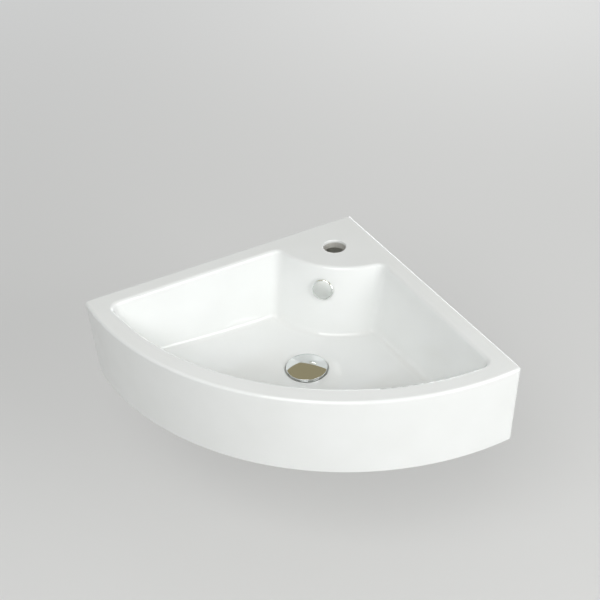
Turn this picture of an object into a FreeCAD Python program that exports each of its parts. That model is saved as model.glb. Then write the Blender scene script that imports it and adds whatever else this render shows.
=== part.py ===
import FreeCAD, Part
import math
import os
import re
import Sketcher

# Wall-hung corner basin of glazed vitreous china, with its click waste, overflow and wall fixings.
# Millimetres. The walls are the planes x = 0 and y = 0, and the basin fills x > 0, y < 0.
# z = 0 is the underside of the apron, and the vertical line where the walls meet is the z axis.

os.makedirs("parts", exist_ok=True)
doc = FreeCAD.newDocument("CornerBasin")

SIZES = {
    # apron and rim
    "side_length": 450,
    "rim_height": 132,
    "front_centre": 18,
    "front_draft": 3.3,
    "tip_radius": 6,
    "rim_edge_radius": 4,
    "base_edge_radius": 1.5,
    "apron_wall": 12,
    "rim_thickness": 14,
    # bowl
    "bowl_depth": 110,
    "side_inset": 28,
    "side_slope": 16,
    "front_inset": 28.3,
    "front_slope": 14,
    "deck_centre": 16,
    "deck_radius": 127,
    "deck_slope": 17,
    "crease_radius": 15,
    "floor_blend": 10,
    "floor_slope": 5.5,
    "mouth_radius": 6,
    "china_wall": 11,
    # tap hole
    "tap_reach": 93,
    "tap_hole_radius": 17.5,
    "tap_edge_radius": 1.5,
    # outlet in the china
    "waste_reach": 260,
    "recess_radius": 33,
    "recess_depth": 5,
    "outlet_radius": 23,
    "boss_radius": 36,
    "boss_length": 32,
    # overflow in the china
    "overflow_drop": 34,
    "overflow_radius": 11,
    "chamber_wall": 6,
    "chamber_length": 29,
    "duct_radius": 7,
    "duct_wall": 5,
    "duct_bend": 24,
    "duct_lead": 2,
    "duct_drop": 19,
    "duct_overlap": 3,
    # waste body and what clamps it
    "flange_radius": 30,
    "flange_thickness": 3,
    "flange_seal_thickness": 2,
    "flange_seal_width": 8,
    "dish_radius": 27,
    "dish_depth": 3.5,
    "shoulder_radius": 22.6,
    "shoulder_length": 6,
    "tail_radius": 20.95,
    "tail_bore": 18.5,
    "tail_length": 78,
    "tail_chamfer": 1,
    "neck_radius": 19.9,
    "neck_gap": 2.5,
    "neck_width": 2.5,
    "slot_width": 12,
    "slot_length": 13,
    "slot_gap": 1,
    "hub_drop": 44,
    "hub_radius": 9,
    "hub_thickness": 8,
    "hub_hole_radius": 6,
    "spoke_width": 4,
    "thread_clearance": 0.1,
    "under_seal_radius": 31,
    "under_seal_thickness": 5,
    "under_seal_lip": 3,
    "under_seal_edge": 1,
    "under_seal_fit": 0.5,
    "slip_washer_radius": 30,
    "slip_washer_thickness": 1.5,
    "back_nut_flats": 52,
    "back_nut_thickness": 9,
    "hexagon_lean": 0.5,
    # click cartridge
    "housing_radius": 10,
    "housing_bore": 7,
    "housing_length": 34,
    "housing_floor": 3,
    "spigot_length": 16,
    "cap_thickness": 3,
    "cap_spigot": 3,
    "cap_chamfer": 1,
    "cartridge_nut_flats": 18,
    "cartridge_nut_thickness": 4,
    "travel": 8,
    "stem_radius": 4,
    "running_clearance": 0.06,
    "slide_clearance": 0.4,
    "free_gap": 0.3,
    "plunger_length": 5,
    "plunger_plate": 2.5,
    "plunger_recess": 5.5,
    "collar_radius": 5.2,
    "collar_thickness": 1.2,
    "clip_thickness": 0.9,
    "clip_width": 1,
    "rotor_length": 4,
    "rotor_bore": 2.6,
    "tooth_depth": 1.2,
    "tooth_count": 6,
    "spring_radius": 5,
    "spring_wire": 1,
    "spring_turns": 5,
    # plug
    "dome_radius": 31,
    "dome_gap": 0.8,
    "dome_lip": 3,
    "dome_lip_depth": 1,
    "dome_lip_chamfer": 0.6,
    "dome_edge": 1.8,
    "dome_crown": 6.4,
    "dome_boss_radius": 8,
    "dome_boss_depth": 7.5,
    "stem_grip": 4,
    "plug_seal_radius": 26,
    "plug_seal_bore": 20,
    "seat_gap": 0.36,
    # overflow cover and its insert
    "cover_radius": 16,
    "cover_thickness": 2.2,
    "cover_crown": 1,
    "cover_edge": 0.8,
    "cover_lip": 1,
    "cover_gap": 3,
    "cover_stem_radius": 3,
    "cover_stem_length": 13,
    "insert_flange_radius": 12.6,
    "insert_flange_thickness": 1.4,
    "insert_length": 11,
    "insert_wall": 1.5,
    "insert_clearance": 0.2,
    "insert_hub_radius": 4.6,
    "insert_rib": 1.6,
    "insert_hub_depth": 2,
    # wall fixings
    "fixing_reach": 105,
    "fixing_height": 58,
    "fixing_hole_radius": 8,
    "bolt_radius": 5,
    "bolt_in_wall": 44,
    "bolt_inside": 35,
    "bolt_point": 9,
    "shank_radius": 4.5,
    "shank_in_wall": 3,
    "shank_inside": 4,
    "bolt_chamfer": 1,
    "sleeve_clearance": 0.2,
    "sleeve_reach": 10,
    "sleeve_flange_radius": 11.5,
    "sleeve_flange_thickness": 3,
    "washer_radius": 10,
    "washer_thickness": 2,
    "nut_flats": 17,
    "nut_thickness": 8,
    # how far a cutting tool runs past what it cuts
    "run_past": 5,
}

# Places that follow from the sizes.
PLACES = {
    "front_radius": "sqrt((side_length - front_centre)^2 + front_centre^2)",
    "floor_height": "rim_height - bowl_depth",
    "waste_x": "waste_reach / sqrt(2)",
    "tap_x": "tap_reach / sqrt(2)",
    "skin_low": "floor_height - 3 * china_wall",
    "duct_level": "floor_height - duct_drop",
    "seat_height": "floor_height - recess_depth",
    "flange_under": "seat_height + flange_seal_thickness",
    "flange_top": "flange_under + flange_thickness",
    "boss_bottom": "floor_height - boss_length",
    "washer_top": "boss_bottom - under_seal_thickness",
    "back_nut_top": "washer_top - slip_washer_thickness",
    "back_nut_bottom": "back_nut_top - back_nut_thickness",
    "neck_top": "back_nut_bottom - neck_gap",
    "neck_bottom": "neck_top - neck_width",
    "tail_bottom": "flange_top - tail_length",
    "clamp_bore": "tail_radius + thread_clearance",
    "hub_top": "flange_top - hub_drop",
    "hub_bottom": "hub_top - hub_thickness",
    "housing_top": "hub_top + housing_length",
    "cavity_floor": "hub_top + housing_floor",
    "cap_top": "housing_top + cap_thickness",
    "cap_bottom": "housing_top - cap_spigot",
    "slider_radius": "housing_bore - slide_clearance",
    "stem_bore": "stem_radius + running_clearance",
    "plunger_top": "cap_bottom - travel - free_gap - collar_thickness - free_gap",
    "plunger_bottom": "plunger_top - plunger_length",
    "plate_bottom": "plunger_top - plunger_plate",
    "collar_bottom": "plunger_top + free_gap",
    "clip_top": "plate_bottom - free_gap",
    "stem_bottom": "plunger_bottom + free_gap",
    "rotor_top": "plunger_bottom - slide_clearance",
    "rotor_bottom": "rotor_top - rotor_length",
    "dome_bottom": "flange_top + dome_gap",
    "dome_under": "dome_bottom + dome_lip_depth",
    "dome_shoulder": "dome_under + dome_edge",
    "dome_top": "dome_shoulder + dome_crown",
    "stem_top": "dome_under + stem_grip",
    "overflow_height": "rim_height - overflow_drop",
    "overflow_reach": "deck_centre * sqrt(2) + deck_radius + overflow_drop * tan(deck_slope)",
    "insert_bore": "overflow_radius - insert_clearance - insert_wall",
    "sleeve_flange_top": "apron_wall + sleeve_flange_thickness",
    "washer_face": "sleeve_flange_top + washer_thickness",
    "over_rim": "rim_height + run_past",
}

sheet = doc.addObject("Spreadsheet::Sheet", "Sizes")
for row, (alias, size) in enumerate(SIZES.items(), 1):
    sheet.set(f"A{row}", alias)
    sheet.set(f"B{row}", str(size))
    sheet.setAlias(f"B{row}", alias)
doc.recompute()


def formula(words):
    """Words for sizes and places, written out as a formula on the sheet's cells."""

    def cell(match):
        word = match.group(0)
        if word in PLACES:
            return "(" + formula(PLACES[word]) + ")"
        if word in SIZES:
            return "Sizes." + word
        return word

    return re.sub(r"[A-Za-z_]\w*", cell, str(words))


def number(words):
    """The value of a formula now."""
    return float(sheet.evalExpression(formula(words)))


def bind(thing, **formulas):
    """Ties properties of a document object to the sheet."""
    for name, words in formulas.items():
        thing.setExpression(name, formula(words))
    return thing


def set_down(thing, x="0", y="0", z="0", turn="rotation(0; 0; 0)"):
    """Places an object by formulas."""
    where = f"vector({formula(x)}; {formula(y)}; {formula(z)})"
    thing.setExpression("Placement", f"placement({where}; {formula(turn)})")
    return thing


# ---- primitives and booleans ----------------------------------------------------------------

def box(name, low, high):
    """A box between two corners, each three formulas."""
    lengths = [f"({top}) - ({bottom})" for bottom, top in zip(low, high)]
    block = doc.addObject("Part::Box", name)
    bind(block, Length=lengths[0], Width=lengths[1], Height=lengths[2])
    return set_down(block, *low)


def cylinder(name, radius, length, x, y, z, turn="rotation(0; 0; 0)"):
    rod = doc.addObject("Part::Cylinder", name)
    bind(rod, Radius=radius, Height=length)
    return set_down(rod, x, y, z, turn)


def flared(name, rim_radius, slope, sign, centre, low, high):
    """An upright cone that has rim_radius at the rim and grows (+) or shrinks (-) downwards."""
    cone = doc.addObject("Part::Cone", name)
    bind(
        cone,
        Radius1=f"{rim_radius} {sign} (rim_height - ({low})) * tan({slope})",
        Radius2=f"{rim_radius} {sign} (rim_height - ({high})) * tan({slope})",
        Height=f"({high}) - ({low})",
    )
    return set_down(cone, centre, f"0 - ({centre})", low, "rotation(135; 0; 0)")


def joined(name, *things):
    fusion = doc.addObject("Part::MultiFuse", name)
    fusion.Shapes = list(things)
    return fusion


def shared(name, *things):
    common = doc.addObject("Part::MultiCommon", name)
    common.Shapes = list(things)
    return common


def less(name, base, tool):
    cut = doc.addObject("Part::Cut", name)
    cut.Base = base
    cut.Tool = tool
    return cut


def rounded(name, base, picks):
    """Fillets: picks pairs a radius with a test that says which edges get it."""
    doc.recompute()
    chosen = []
    for index, edge in enumerate(base.Shape.Edges, 1):
        for radius, wanted in picks:
            if wanted(edge):
                chosen.append((index, number(radius), number(radius)))
                break
    fillet = doc.addObject("Part::Fillet", name)
    fillet.Base = base
    fillet.Edges = chosen
    doc.recompute()
    return fillet


TOUCH = 0.01    # edges nearer than this to a level lie on it


def rise(edge):
    return edge.BoundBox.ZMax - edge.BoundBox.ZMin


# ---- china ----------------------------------------------------------------------------------

def bowl_form(name, grow, low, high):
    """The bowl's hollow, or with grow its outer skin: two leaning sides, round front, round deck."""
    side_low = f"side_inset - {grow} / cos(side_slope) + (rim_height - ({low})) * tan(side_slope)"
    side_high = f"side_inset - {grow} / cos(side_slope) + (rim_height - ({high})) * tan(side_slope)"
    sides = doc.addObject("Part::Wedge", name + "_sides")
    bind(
        sides,
        Xmin=side_low, Zmin=side_low, Ymin=low,
        X2min=side_high, Z2min=side_high, Ymax=high,
        Xmax="side_length + front_centre", Zmax="side_length + front_centre",
        X2max="side_length + front_centre", Z2max="side_length + front_centre",
    )
    set_down(sides, turn="rotation(0; 0; 90)")
    front_rim = f"front_radius - front_inset + {grow} / cos(front_slope)"
    front = flared(name + "_front", front_rim, "front_slope", "-", "front_centre", low, high)
    deck_rim = f"deck_radius - {grow} / cos(deck_slope)"
    deck = flared(name + "_deck", deck_rim, "deck_slope", "+", "deck_centre", low, high)
    floor = doc.addObject("Part::Cone", name + "_floor")
    floor_low = f"floor_height - {grow} / cos(floor_slope)"
    bind(
        floor,
        Radius1="recess_radius",
        Radius2=f"recess_radius + (({high}) - ({floor_low})) / tan(floor_slope)",
        Height=f"({high}) - ({floor_low})",
    )
    set_down(floor, "waste_x", "0 - waste_x", floor_low)
    block = less(name + "_block", shared(name + "_meet", sides, front, floor), deck)
    tall = number("bowl_depth") / 3
    creases = rounded(
        name + "_creases", block, [(f"crease_radius + {grow}", lambda edge: rise(edge) > tall)]
    )
    top = number(high)
    recess = number("recess_radius")

    def around_floor(edge):
        middle = edge.valueAt(sum(edge.ParameterRange) / 2)
        round_outlet = edge.BoundBox.XLength < 2.1 * recess and rise(edge) < TOUCH
        return rise(edge) < tall and middle.z < top - TOUCH and not round_outlet

    return rounded(name, creases, [(f"floor_blend + {grow}", around_floor)])


def overflow_way(name, radius, end):
    """A round way down behind the bowl's back wall, then along under its floor to the outlet."""
    lean = math.radians(number("deck_slope"))
    fall = math.radians(number("floor_slope"))
    behind = number("china_wall + duct_radius + duct_lead")
    start = FreeCAD.Vector(
        number("overflow_reach") - behind * math.cos(lean),
        number("overflow_height") - behind * math.sin(lean),
        0,
    )
    outlet = FreeCAD.Vector(number("waste_reach"), number("duct_level"), 0)
    down = FreeCAD.Vector(math.sin(lean), -math.cos(lean), 0)
    along = FreeCAD.Vector(math.cos(fall), -math.sin(fall), 0)
    gap = outlet - start
    corner = start + down * (gap.cross(along).z / down.cross(along).z)
    half_turn = down.getAngle(along) / 2
    bend = number("duct_bend")
    reach = bend * math.tan(half_turn)
    inward = (along - down).normalize()
    points = (
        start,
        corner - down * reach,
        corner + inward * (bend / math.cos(half_turn) - bend),
        corner + along * reach,
        outlet - along * end,
    )
    start_at, turn_from, turn_mid, turn_to, end_at = [
        FreeCAD.Vector(point.x / math.sqrt(2), -point.x / math.sqrt(2), point.y) for point in points
    ]
    run = [
        Part.LineSegment(start_at, turn_from).toShape(),
        Part.Arc(turn_from, turn_mid, turn_to).toShape(),
        Part.LineSegment(turn_to, end_at).toShape(),
    ]
    ring = Part.Wire(Part.makeCircle(radius, start_at, turn_from - start_at))
    way = doc.addObject("Part::Feature", name)
    way.Shape = Part.Wire(run).makePipeShell([ring], True, False)
    return way


def make_basin():
    """The china: block, less its hollow underside, plus the bowl's skin, outlet and overflow duct."""
    side = "side_length + front_centre"
    corner_box = box("block_box", ("0", f"0 - ({side})", "0"), (side, "0", "rim_height"))
    front = flared("block_front", "front_radius", "front_draft", "-", "front_centre", "0", "rim_height")
    block = shared("block", corner_box, front)
    tall = number("rim_height") / 2

    def tip_edge(edge):
        middle = edge.valueAt(sum(edge.ParameterRange) / 2)
        return rise(edge) > tall and middle.Length > number("side_length") / 2

    def outer_top(edge):
        return edge.BoundBox.ZMin > number("rim_height") - TOUCH

    def outer_bottom(edge):
        return edge.BoundBox.ZMax < TOUCH

    soft = rounded("block_soft", block, [
        ("tip_radius", tip_edge), ("rim_edge_radius", outer_top), ("base_edge_radius", outer_bottom),
    ])

    under_box = box(
        "hollow_box",
        ("apron_wall", f"0 - ({side})", "0 - run_past"),
        (side, "0 - apron_wall", "rim_height - rim_thickness"),
    )
    under_front = flared(
        "hollow_front", "front_radius - apron_wall", "front_draft", "-", "front_centre",
        "0 - run_past", "rim_height - rim_thickness",
    )
    hollowed = less("hollowed", soft, shared("hollow", under_box, under_front))

    skin = bowl_form("skin", "china_wall", "skin_low", "rim_height - rim_thickness / 2")
    boss = cylinder(
        "boss", "boss_radius", "boss_length", "waste_x", "0 - waste_x", "boss_bottom"
    )
    toward_bowl = "rotation(-45; 90 - deck_slope; 0)"
    chamber = cylinder(
        "chamber", "overflow_radius + chamber_wall", "chamber_length + chamber_wall - china_wall / 2",
        "(overflow_reach - (chamber_length + chamber_wall) * cos(deck_slope)) / sqrt(2)",
        "0 - (overflow_reach - (chamber_length + chamber_wall) * cos(deck_slope)) / sqrt(2)",
        "overflow_height - (chamber_length + chamber_wall) * sin(deck_slope)", toward_bowl,
    )
    duct = overflow_way("duct", number("duct_radius + duct_wall"), number("boss_radius - duct_overlap"))
    cast = joined("cast", hollowed, skin, boss, chamber, duct)

    bowl = bowl_form("bowl", "0", "0", "over_rim")
    recess = cylinder(
        "recess", "recess_radius", "recess_depth + run_past", "waste_x", "0 - waste_x", "seat_height"
    )
    outlet = cylinder(
        "outlet", "outlet_radius", "seat_height - boss_bottom + 2 * run_past",
        "waste_x", "0 - waste_x", "boss_bottom - run_past",
    )
    way = overflow_way("duct_way", number("duct_radius"), number("outlet_radius - duct_overlap"))
    overflow = cylinder(
        "overflow", "overflow_radius", "chamber_length + run_past",
        "(overflow_reach - chamber_length * cos(deck_slope)) / sqrt(2)",
        "0 - (overflow_reach - chamber_length * cos(deck_slope)) / sqrt(2)",
        "overflow_height - chamber_length * sin(deck_slope)", toward_bowl,
    )
    tap_hole = cylinder(
        "tap_hole", "tap_hole_radius", "2 * rim_thickness",
        "tap_x", "0 - tap_x", "rim_height - 1.5 * rim_thickness",
    )
    left_hole = cylinder(
        "left_hole", "fixing_hole_radius", "2 * apron_wall", "0 - apron_wall / 2", "0 - fixing_reach",
        "fixing_height", "rotation(0; 90; 0)",
    )
    right_hole = cylinder(
        "right_hole", "fixing_hole_radius", "2 * apron_wall", "fixing_reach", "apron_wall / 2",
        "fixing_height", "rotation(0; 0; 90)",
    )
    voids = joined("voids", bowl, recess, outlet, way, overflow, tap_hole, left_hole, right_hole)
    open_cast = less("open_cast", cast, voids)

    rim = number("rim_height")
    tap = FreeCAD.Vector(number("tap_x"), -number("tap_x"), rim)
    hole = number("tap_hole_radius")
    wall = number("apron_wall")

    def on_rim(edge):
        return edge.BoundBox.ZMin > rim - TOUCH

    def tap_mouth(edge):
        return on_rim(edge) and edge.valueAt(edge.FirstParameter).distanceToPoint(tap) < hole + 10 * TOUCH

    def bowl_mouth(edge):
        if not on_rim(edge):
            return False
        middle = edge.valueAt(sum(edge.ParameterRange) / 2)
        from_walls = min(middle.x, -middle.y)
        from_front = number("front_radius") - math.hypot(
            middle.x - number("front_centre"), middle.y + number("front_centre")
        )
        return min(from_walls, from_front) > wall

    return rounded(
        "basin_body", open_cast, [("tap_edge_radius", tap_mouth), ("mouth_radius", bowl_mouth)]
    )


# ---- turned pieces --------------------------------------------------------------------------

def plane_of(body, role):
    return [plane for plane in body.Origin.OriginFeatures if plane.Role == role][0]


def profile(body, name, role, points, height="0"):
    """A closed sketch with every corner tied to the sheet.

    A corner is (across, up), or (across, up, centre) where an arc about a point at that
    distance across reaches it from the corner before.
    """
    sketch = body.newObject("Sketcher::SketchObject", name)
    sketch.AttachmentSupport = (plane_of(body, role), "")
    sketch.MapMode = "FlatFace"
    sketch.setExpression("AttachmentOffset.Base.z", formula(height))
    corners = [FreeCAD.Vector(number(point[0]), number(point[1]), 0) for point in points]
    count = len(points)
    ends = []
    for index in range(count):
        start = corners[index]
        stop = corners[(index + 1) % count]
        goal = points[(index + 1) % count]
        if len(goal) == 2:
            sketch.addGeometry(Part.LineSegment(start, stop), False)
            ends.append((index, 1, 2))
            continue
        across = number(goal[2])
        up = ((stop.x - across) ** 2 - (start.x - across) ** 2 + stop.y ** 2 - start.y ** 2) / (
            2 * (stop.y - start.y)
        )
        radius = math.hypot(start.x - across, start.y - up)
        angles = [math.atan2(end.y - up, end.x - across) for end in (start, stop)]
        circle = Part.Circle(FreeCAD.Vector(across, up, 0), FreeCAD.Vector(0, 0, 1), radius)
        forward = math.remainder(angles[1] - angles[0], 2 * math.pi) > 0
        sketch.addGeometry(Part.ArcOfCircle(circle, *(angles if forward else angles[::-1])), False)
        ends.append((index, 1, 2) if forward else (index, 2, 1))
        tie = sketch.addConstraint(Sketcher.Constraint("DistanceX", -1, 1, index, 3, across))
        sketch.setExpression(f"Constraints[{tie}]", formula(goal[2]))
    for index in range(count):
        here = ends[index]
        ahead = ends[(index + 1) % count]
        sketch.addConstraint(Sketcher.Constraint("Coincident", here[0], here[2], ahead[0], ahead[1]))
    for index, point in enumerate(points):
        line, end = ends[index][:2]
        for kind, value, words in zip(("DistanceX", "DistanceY"), corners[index], point):
            tie = sketch.addConstraint(Sketcher.Constraint(kind, -1, 1, line, end, value))
            sketch.setExpression(f"Constraints[{tie}]", formula(words))
    return sketch


def turned(label, points):
    """A body turned about its own z axis from a profile of (radius, height)."""
    body = doc.addObject("PartDesign::Body", label)
    sketch = profile(body, label + "_profile", "XZ_Plane", points)
    feature = body.newObject("PartDesign::Revolution", label + "_turned")
    feature.Profile = sketch
    feature.ReferenceAxis = (sketch, ["V_Axis"])
    feature.Angle = 360
    doc.recompute()
    return body


def pad(body, name, points, low, thickness):
    sketch = profile(body, name + "_outline", "XY_Plane", points, low)
    feature = body.newObject("PartDesign::Pad", name)
    feature.Profile = sketch
    bind(feature, Length=thickness)
    doc.recompute()
    return feature


def ring(label, bore, radius, bottom, top):
    return turned(label, [(bore, bottom), (radius, bottom), (radius, top), (bore, top)])


def on_waste(body):
    """Stands a piece on the outlet's axis."""
    return set_down(body, "waste_x", "0 - waste_x", "0", "rotation(-45; 0; 0)")


def hexagon(flats):
    """Six corners of a hexagon by its size across flats."""
    point = f"{flats} / sqrt(3)"
    half = f"{flats} / sqrt(12)"
    side = f"{flats} / 2"
    return [
        (point, "0"), (half, side), (f"0 - {half}", side),
        (f"0 - {point}", "0"), (f"0 - {half}", f"0 - ({side})"), (half, f"0 - ({side})"),
    ]


def hex_nut(label, flats, bore, bottom, thickness):
    """A hexagon nut with its corners turned back and a round bore."""
    body = doc.addObject("PartDesign::Body", label)
    pad(body, label + "_hexagon", hexagon(flats), bottom, thickness)
    corner = f"{flats} / sqrt(3) + run_past"
    shy = f"{flats} / 2"
    lean = f"({flats} / sqrt(3) + run_past - {flats} / 2) * hexagon_lean"
    for end, base, inward in (("low", bottom, "+"), ("high", f"{bottom} + {thickness}", "-")):
        chamfer = profile(
            body, f"{label}_{end}_corners", "XZ_Plane",
            [(shy, base), (corner, base), (corner, f"{base} {inward} {lean}")],
        )
        groove = body.newObject("PartDesign::Groove", f"{label}_{end}_turned")
        groove.Profile = chamfer
        groove.ReferenceAxis = (chamfer, ["V_Axis"])
        groove.Angle = 360
        doc.recompute()
    tunnel = profile(
        body, label + "_bore", "XZ_Plane",
        [("0", f"{bottom} - run_past"), (bore, f"{bottom} - run_past"),
         (bore, f"{bottom} + {thickness} + run_past"), ("0", f"{bottom} + {thickness} + run_past")],
    )
    drilled = body.newObject("PartDesign::Groove", label + "_drilled")
    drilled.Profile = tunnel
    drilled.ReferenceAxis = (tunnel, ["V_Axis"])
    drilled.Angle = 360
    doc.recompute()
    return body


# ---- waste ----------------------------------------------------------------------------------

def make_waste_body():
    """Brass waste: dished flange, shoulder and tail, two overflow slots and a cross with a hub."""
    body = turned("waste_body", [
        ("tail_bore", "tail_bottom"),
        ("tail_radius - tail_chamfer", "tail_bottom"),
        ("tail_radius", "tail_bottom + tail_chamfer"),
        ("tail_radius", "neck_bottom"),
        ("neck_radius", "neck_bottom"),
        ("neck_radius", "neck_top"),
        ("tail_radius", "neck_top"),
        ("tail_radius", "flange_under - shoulder_length"),
        ("shoulder_radius", "flange_under - shoulder_length"),
        ("shoulder_radius", "flange_under"),
        ("flange_radius", "flange_under"),
        ("flange_radius", "flange_top"),
        ("dish_radius", "flange_top"),
        ("tail_bore", "flange_top - dish_depth"),
    ])
    reach = "(tail_bore + tail_radius) / 2"
    half = "spoke_width / 2"
    for name, across, along in (("spokes_across", reach, half), ("spokes_along", half, reach)):
        corners = [(across, along), (f"0 - {across}", along),
                   (f"0 - {across}", f"0 - {along}"), (across, f"0 - {along}")]
        pad(body, name, corners, "hub_bottom", "hub_thickness")
    for name, kind, radius in (("hub", "PartDesign::Revolution", "hub_radius"),
                               ("hub_hole", "PartDesign::Groove", "hub_hole_radius")):
        spare = "0" if name == "hub" else "run_past"
        outline = profile(
            body, name + "_profile", "XZ_Plane",
            [("0", f"hub_bottom - {spare}"), (radius, f"hub_bottom - {spare}"),
             (radius, f"hub_top + {spare}"), ("0", f"hub_top + {spare}")],
        )
        feature = body.newObject(kind, name)
        feature.Profile = outline
        feature.ReferenceAxis = (outline, ["V_Axis"])
        feature.Angle = 360
        doc.recompute()
    slot_top = "flange_under - shoulder_length - slot_gap"
    slots = profile(
        body, "slots_outline", "YZ_Plane",
        [("0 - slot_width / 2", f"{slot_top} - slot_length"), ("slot_width / 2", f"{slot_top} - slot_length"),
         ("slot_width / 2", slot_top), ("0 - slot_width / 2", slot_top)],
    )
    pocket = body.newObject("PartDesign::Pocket", "slots")
    pocket.Profile = slots
    pocket.Type = "ThroughAll"
    pocket.Midplane = True
    doc.recompute()
    return on_waste(body)


def make_clamping():
    """What seals the waste to the china and pulls it down."""
    on_waste(ring("flange_seal", "shoulder_radius + thread_clearance",
                  "shoulder_radius + thread_clearance + flange_seal_width", "seat_height", "flange_under"))
    under_seal = turned("under_seal", [
        ("clamp_bore", "washer_top"),
        ("under_seal_radius", "washer_top"),
        ("under_seal_radius - under_seal_edge", "boss_bottom"),
        ("outlet_radius - under_seal_fit", "boss_bottom"),
        ("outlet_radius - under_seal_fit - under_seal_edge", "boss_bottom + under_seal_lip"),
        ("clamp_bore", "boss_bottom + under_seal_lip"),
    ])
    on_waste(under_seal)
    on_waste(ring("slip_washer", "clamp_bore", "slip_washer_radius", "back_nut_top", "washer_top"))
    on_waste(hex_nut("back_nut", "back_nut_flats", "clamp_bore", "back_nut_bottom", "back_nut_thickness"))


def make_cartridge():
    """Click cartridge: tube on the hub, guide ring on top, lock nut below."""
    housing = turned("cartridge_housing", [
        ("0", "hub_top - spigot_length"),
        ("hub_hole_radius", "hub_top - spigot_length"),
        ("hub_hole_radius", "hub_top"),
        ("housing_radius", "hub_top"),
        ("housing_radius", "housing_top"),
        ("housing_bore", "housing_top"),
        ("housing_bore", "cavity_floor"),
        ("0", "cavity_floor"),
    ])
    on_waste(housing)
    cap = turned("cartridge_cap", [
        ("stem_bore", "cap_bottom"),
        ("housing_bore", "cap_bottom"),
        ("housing_bore", "housing_top"),
        ("housing_radius", "housing_top"),
        ("housing_radius", "cap_top - cap_chamfer"),
        ("housing_radius - cap_chamfer", "cap_top"),
        ("stem_bore", "cap_top"),
    ])
    on_waste(cap)
    on_waste(hex_nut("cartridge_nut", "cartridge_nut_flats", "hub_hole_radius",
                     "hub_bottom - cartridge_nut_thickness", "cartridge_nut_thickness"))
    plunger = turned("plunger", [
        ("stem_bore", "plate_bottom"),
        ("plunger_recess", "plate_bottom"),
        ("plunger_recess", "plunger_bottom"),
        ("slider_radius", "plunger_bottom"),
        ("slider_radius", "plunger_top"),
        ("stem_bore", "plunger_top"),
    ])
    on_waste(plunger)


def make_rotor():
    """Ratchet ring: V notches in its upper face, repeated around it."""
    body = ring("latch_rotor", "rotor_bore", "slider_radius", "rotor_bottom", "rotor_top")
    notch = profile(
        body, "notch_outline", "YZ_Plane",
        [("0 - tooth_depth", "rotor_top + thread_clearance"), ("0", "rotor_top - tooth_depth"),
         ("tooth_depth", "rotor_top + thread_clearance")],
    )
    pocket = body.newObject("PartDesign::Pocket", "notch")
    pocket.Profile = notch
    pocket.Type = "ThroughAll"
    pocket.Midplane = False
    before = body.Shape.Volume
    doc.recompute()
    if body.Shape.Volume > before - TOUCH:
        pocket.Reversed = True
        doc.recompute()
    pattern = body.newObject("PartDesign::PolarPattern", "notches")
    pattern.Originals = [pocket]
    pattern.Axis = (plane_of(body, "Z_Axis"), [""])
    pattern.Angle = 360
    bind(pattern, Occurrences="tooth_count")
    body.Tip = pattern
    doc.recompute()
    return on_waste(body)


def make_spring():
    """Compression spring between the cartridge's floor and the rotor: one wire, in quarter turns."""
    radius = number("spring_radius")
    wire = number("spring_wire")
    low = number("cavity_floor") + wire / 2 + number("free_gap") / 2
    high = number("rotor_bottom") - wire / 2 - number("free_gap") / 2
    quarters = int(4 * number("spring_turns"))
    pitch = (high - low) / number("spring_turns")

    def along(turns):
        angle = 2 * math.pi * turns
        return FreeCAD.Vector(radius * math.cos(angle), radius * math.sin(angle), low + pitch * turns)

    arcs = []
    for quarter in range(quarters):
        three = [along((quarter + step) / 4) for step in (0, 0.5, 1)]
        arcs.append(Part.Arc(*three).toShape())
    path = Part.Wire(arcs)
    section = Part.Wire(Part.makeCircle(wire / 2, along(0), arcs[0].tangentAt(arcs[0].FirstParameter)))
    shape = path.makePipeShell([section], True, False)
    per_turn = 24
    samples = [along(step / per_turn) for step in range(quarters * per_turn // 4 + 1)]
    gaps = [
        samples[a].distanceToPoint(samples[b]) - wire
        for a in range(len(samples)) for b in range(a + per_turn // 2, len(samples))
    ]
    print(f"click_spring: least gap to itself {min(gaps):.2f} mm")
    spring = doc.addObject("Part::Feature", "click_spring")
    spring.Shape = shape
    return on_waste(spring)


# ---- plug -----------------------------------------------------------------------------------

def dish_at(radius):
    """Height of the flange's dish at a radius."""
    return f"flange_top - dish_depth * (dish_radius - {radius}) / (dish_radius - tail_bore)"


def make_plug():
    """Chrome dome, its rubber ring, the stem it is screwed on to and the stem's clip."""
    dome = turned("plug_dome", [
        ("0", "stem_top"),
        ("stem_radius", "stem_top"),
        ("stem_radius", "dome_under - dome_boss_depth"),
        ("dome_boss_radius", "dome_under - dome_boss_depth"),
        ("dome_boss_radius", "dome_under"),
        ("dome_radius - dome_lip", "dome_under"),
        ("dome_radius - dome_lip", "dome_bottom"),
        ("dome_radius - dome_lip_chamfer", "dome_bottom"),
        ("dome_radius", "dome_bottom + dome_lip_chamfer"),
        ("dome_radius", "dome_shoulder"),
        ("0", "dome_top", "0"),
    ])
    on_waste(dome)
    seal = turned("plug_seal", [
        ("plug_seal_bore", dish_at("plug_seal_bore") + " + seat_gap"),
        ("plug_seal_radius", dish_at("plug_seal_radius") + " + seat_gap"),
        ("plug_seal_radius", "dome_under"),
        ("plug_seal_bore", "dome_under"),
    ])
    on_waste(seal)
    stem = turned("plug_stem", [
        ("0", "stem_bottom"),
        ("stem_radius", "stem_bottom"),
        ("stem_radius", "collar_bottom"),
        ("collar_radius", "collar_bottom"),
        ("collar_radius", "collar_bottom + collar_thickness"),
        ("stem_radius", "collar_bottom + collar_thickness"),
        ("stem_radius", "stem_top"),
        ("0", "stem_top"),
    ])
    on_waste(stem)
    on_waste(ring("stem_clip", "stem_radius", "stem_radius + clip_width",
                  "clip_top - clip_thickness", "clip_top"))


# ---- overflow fittings ----------------------------------------------------------------------

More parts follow.
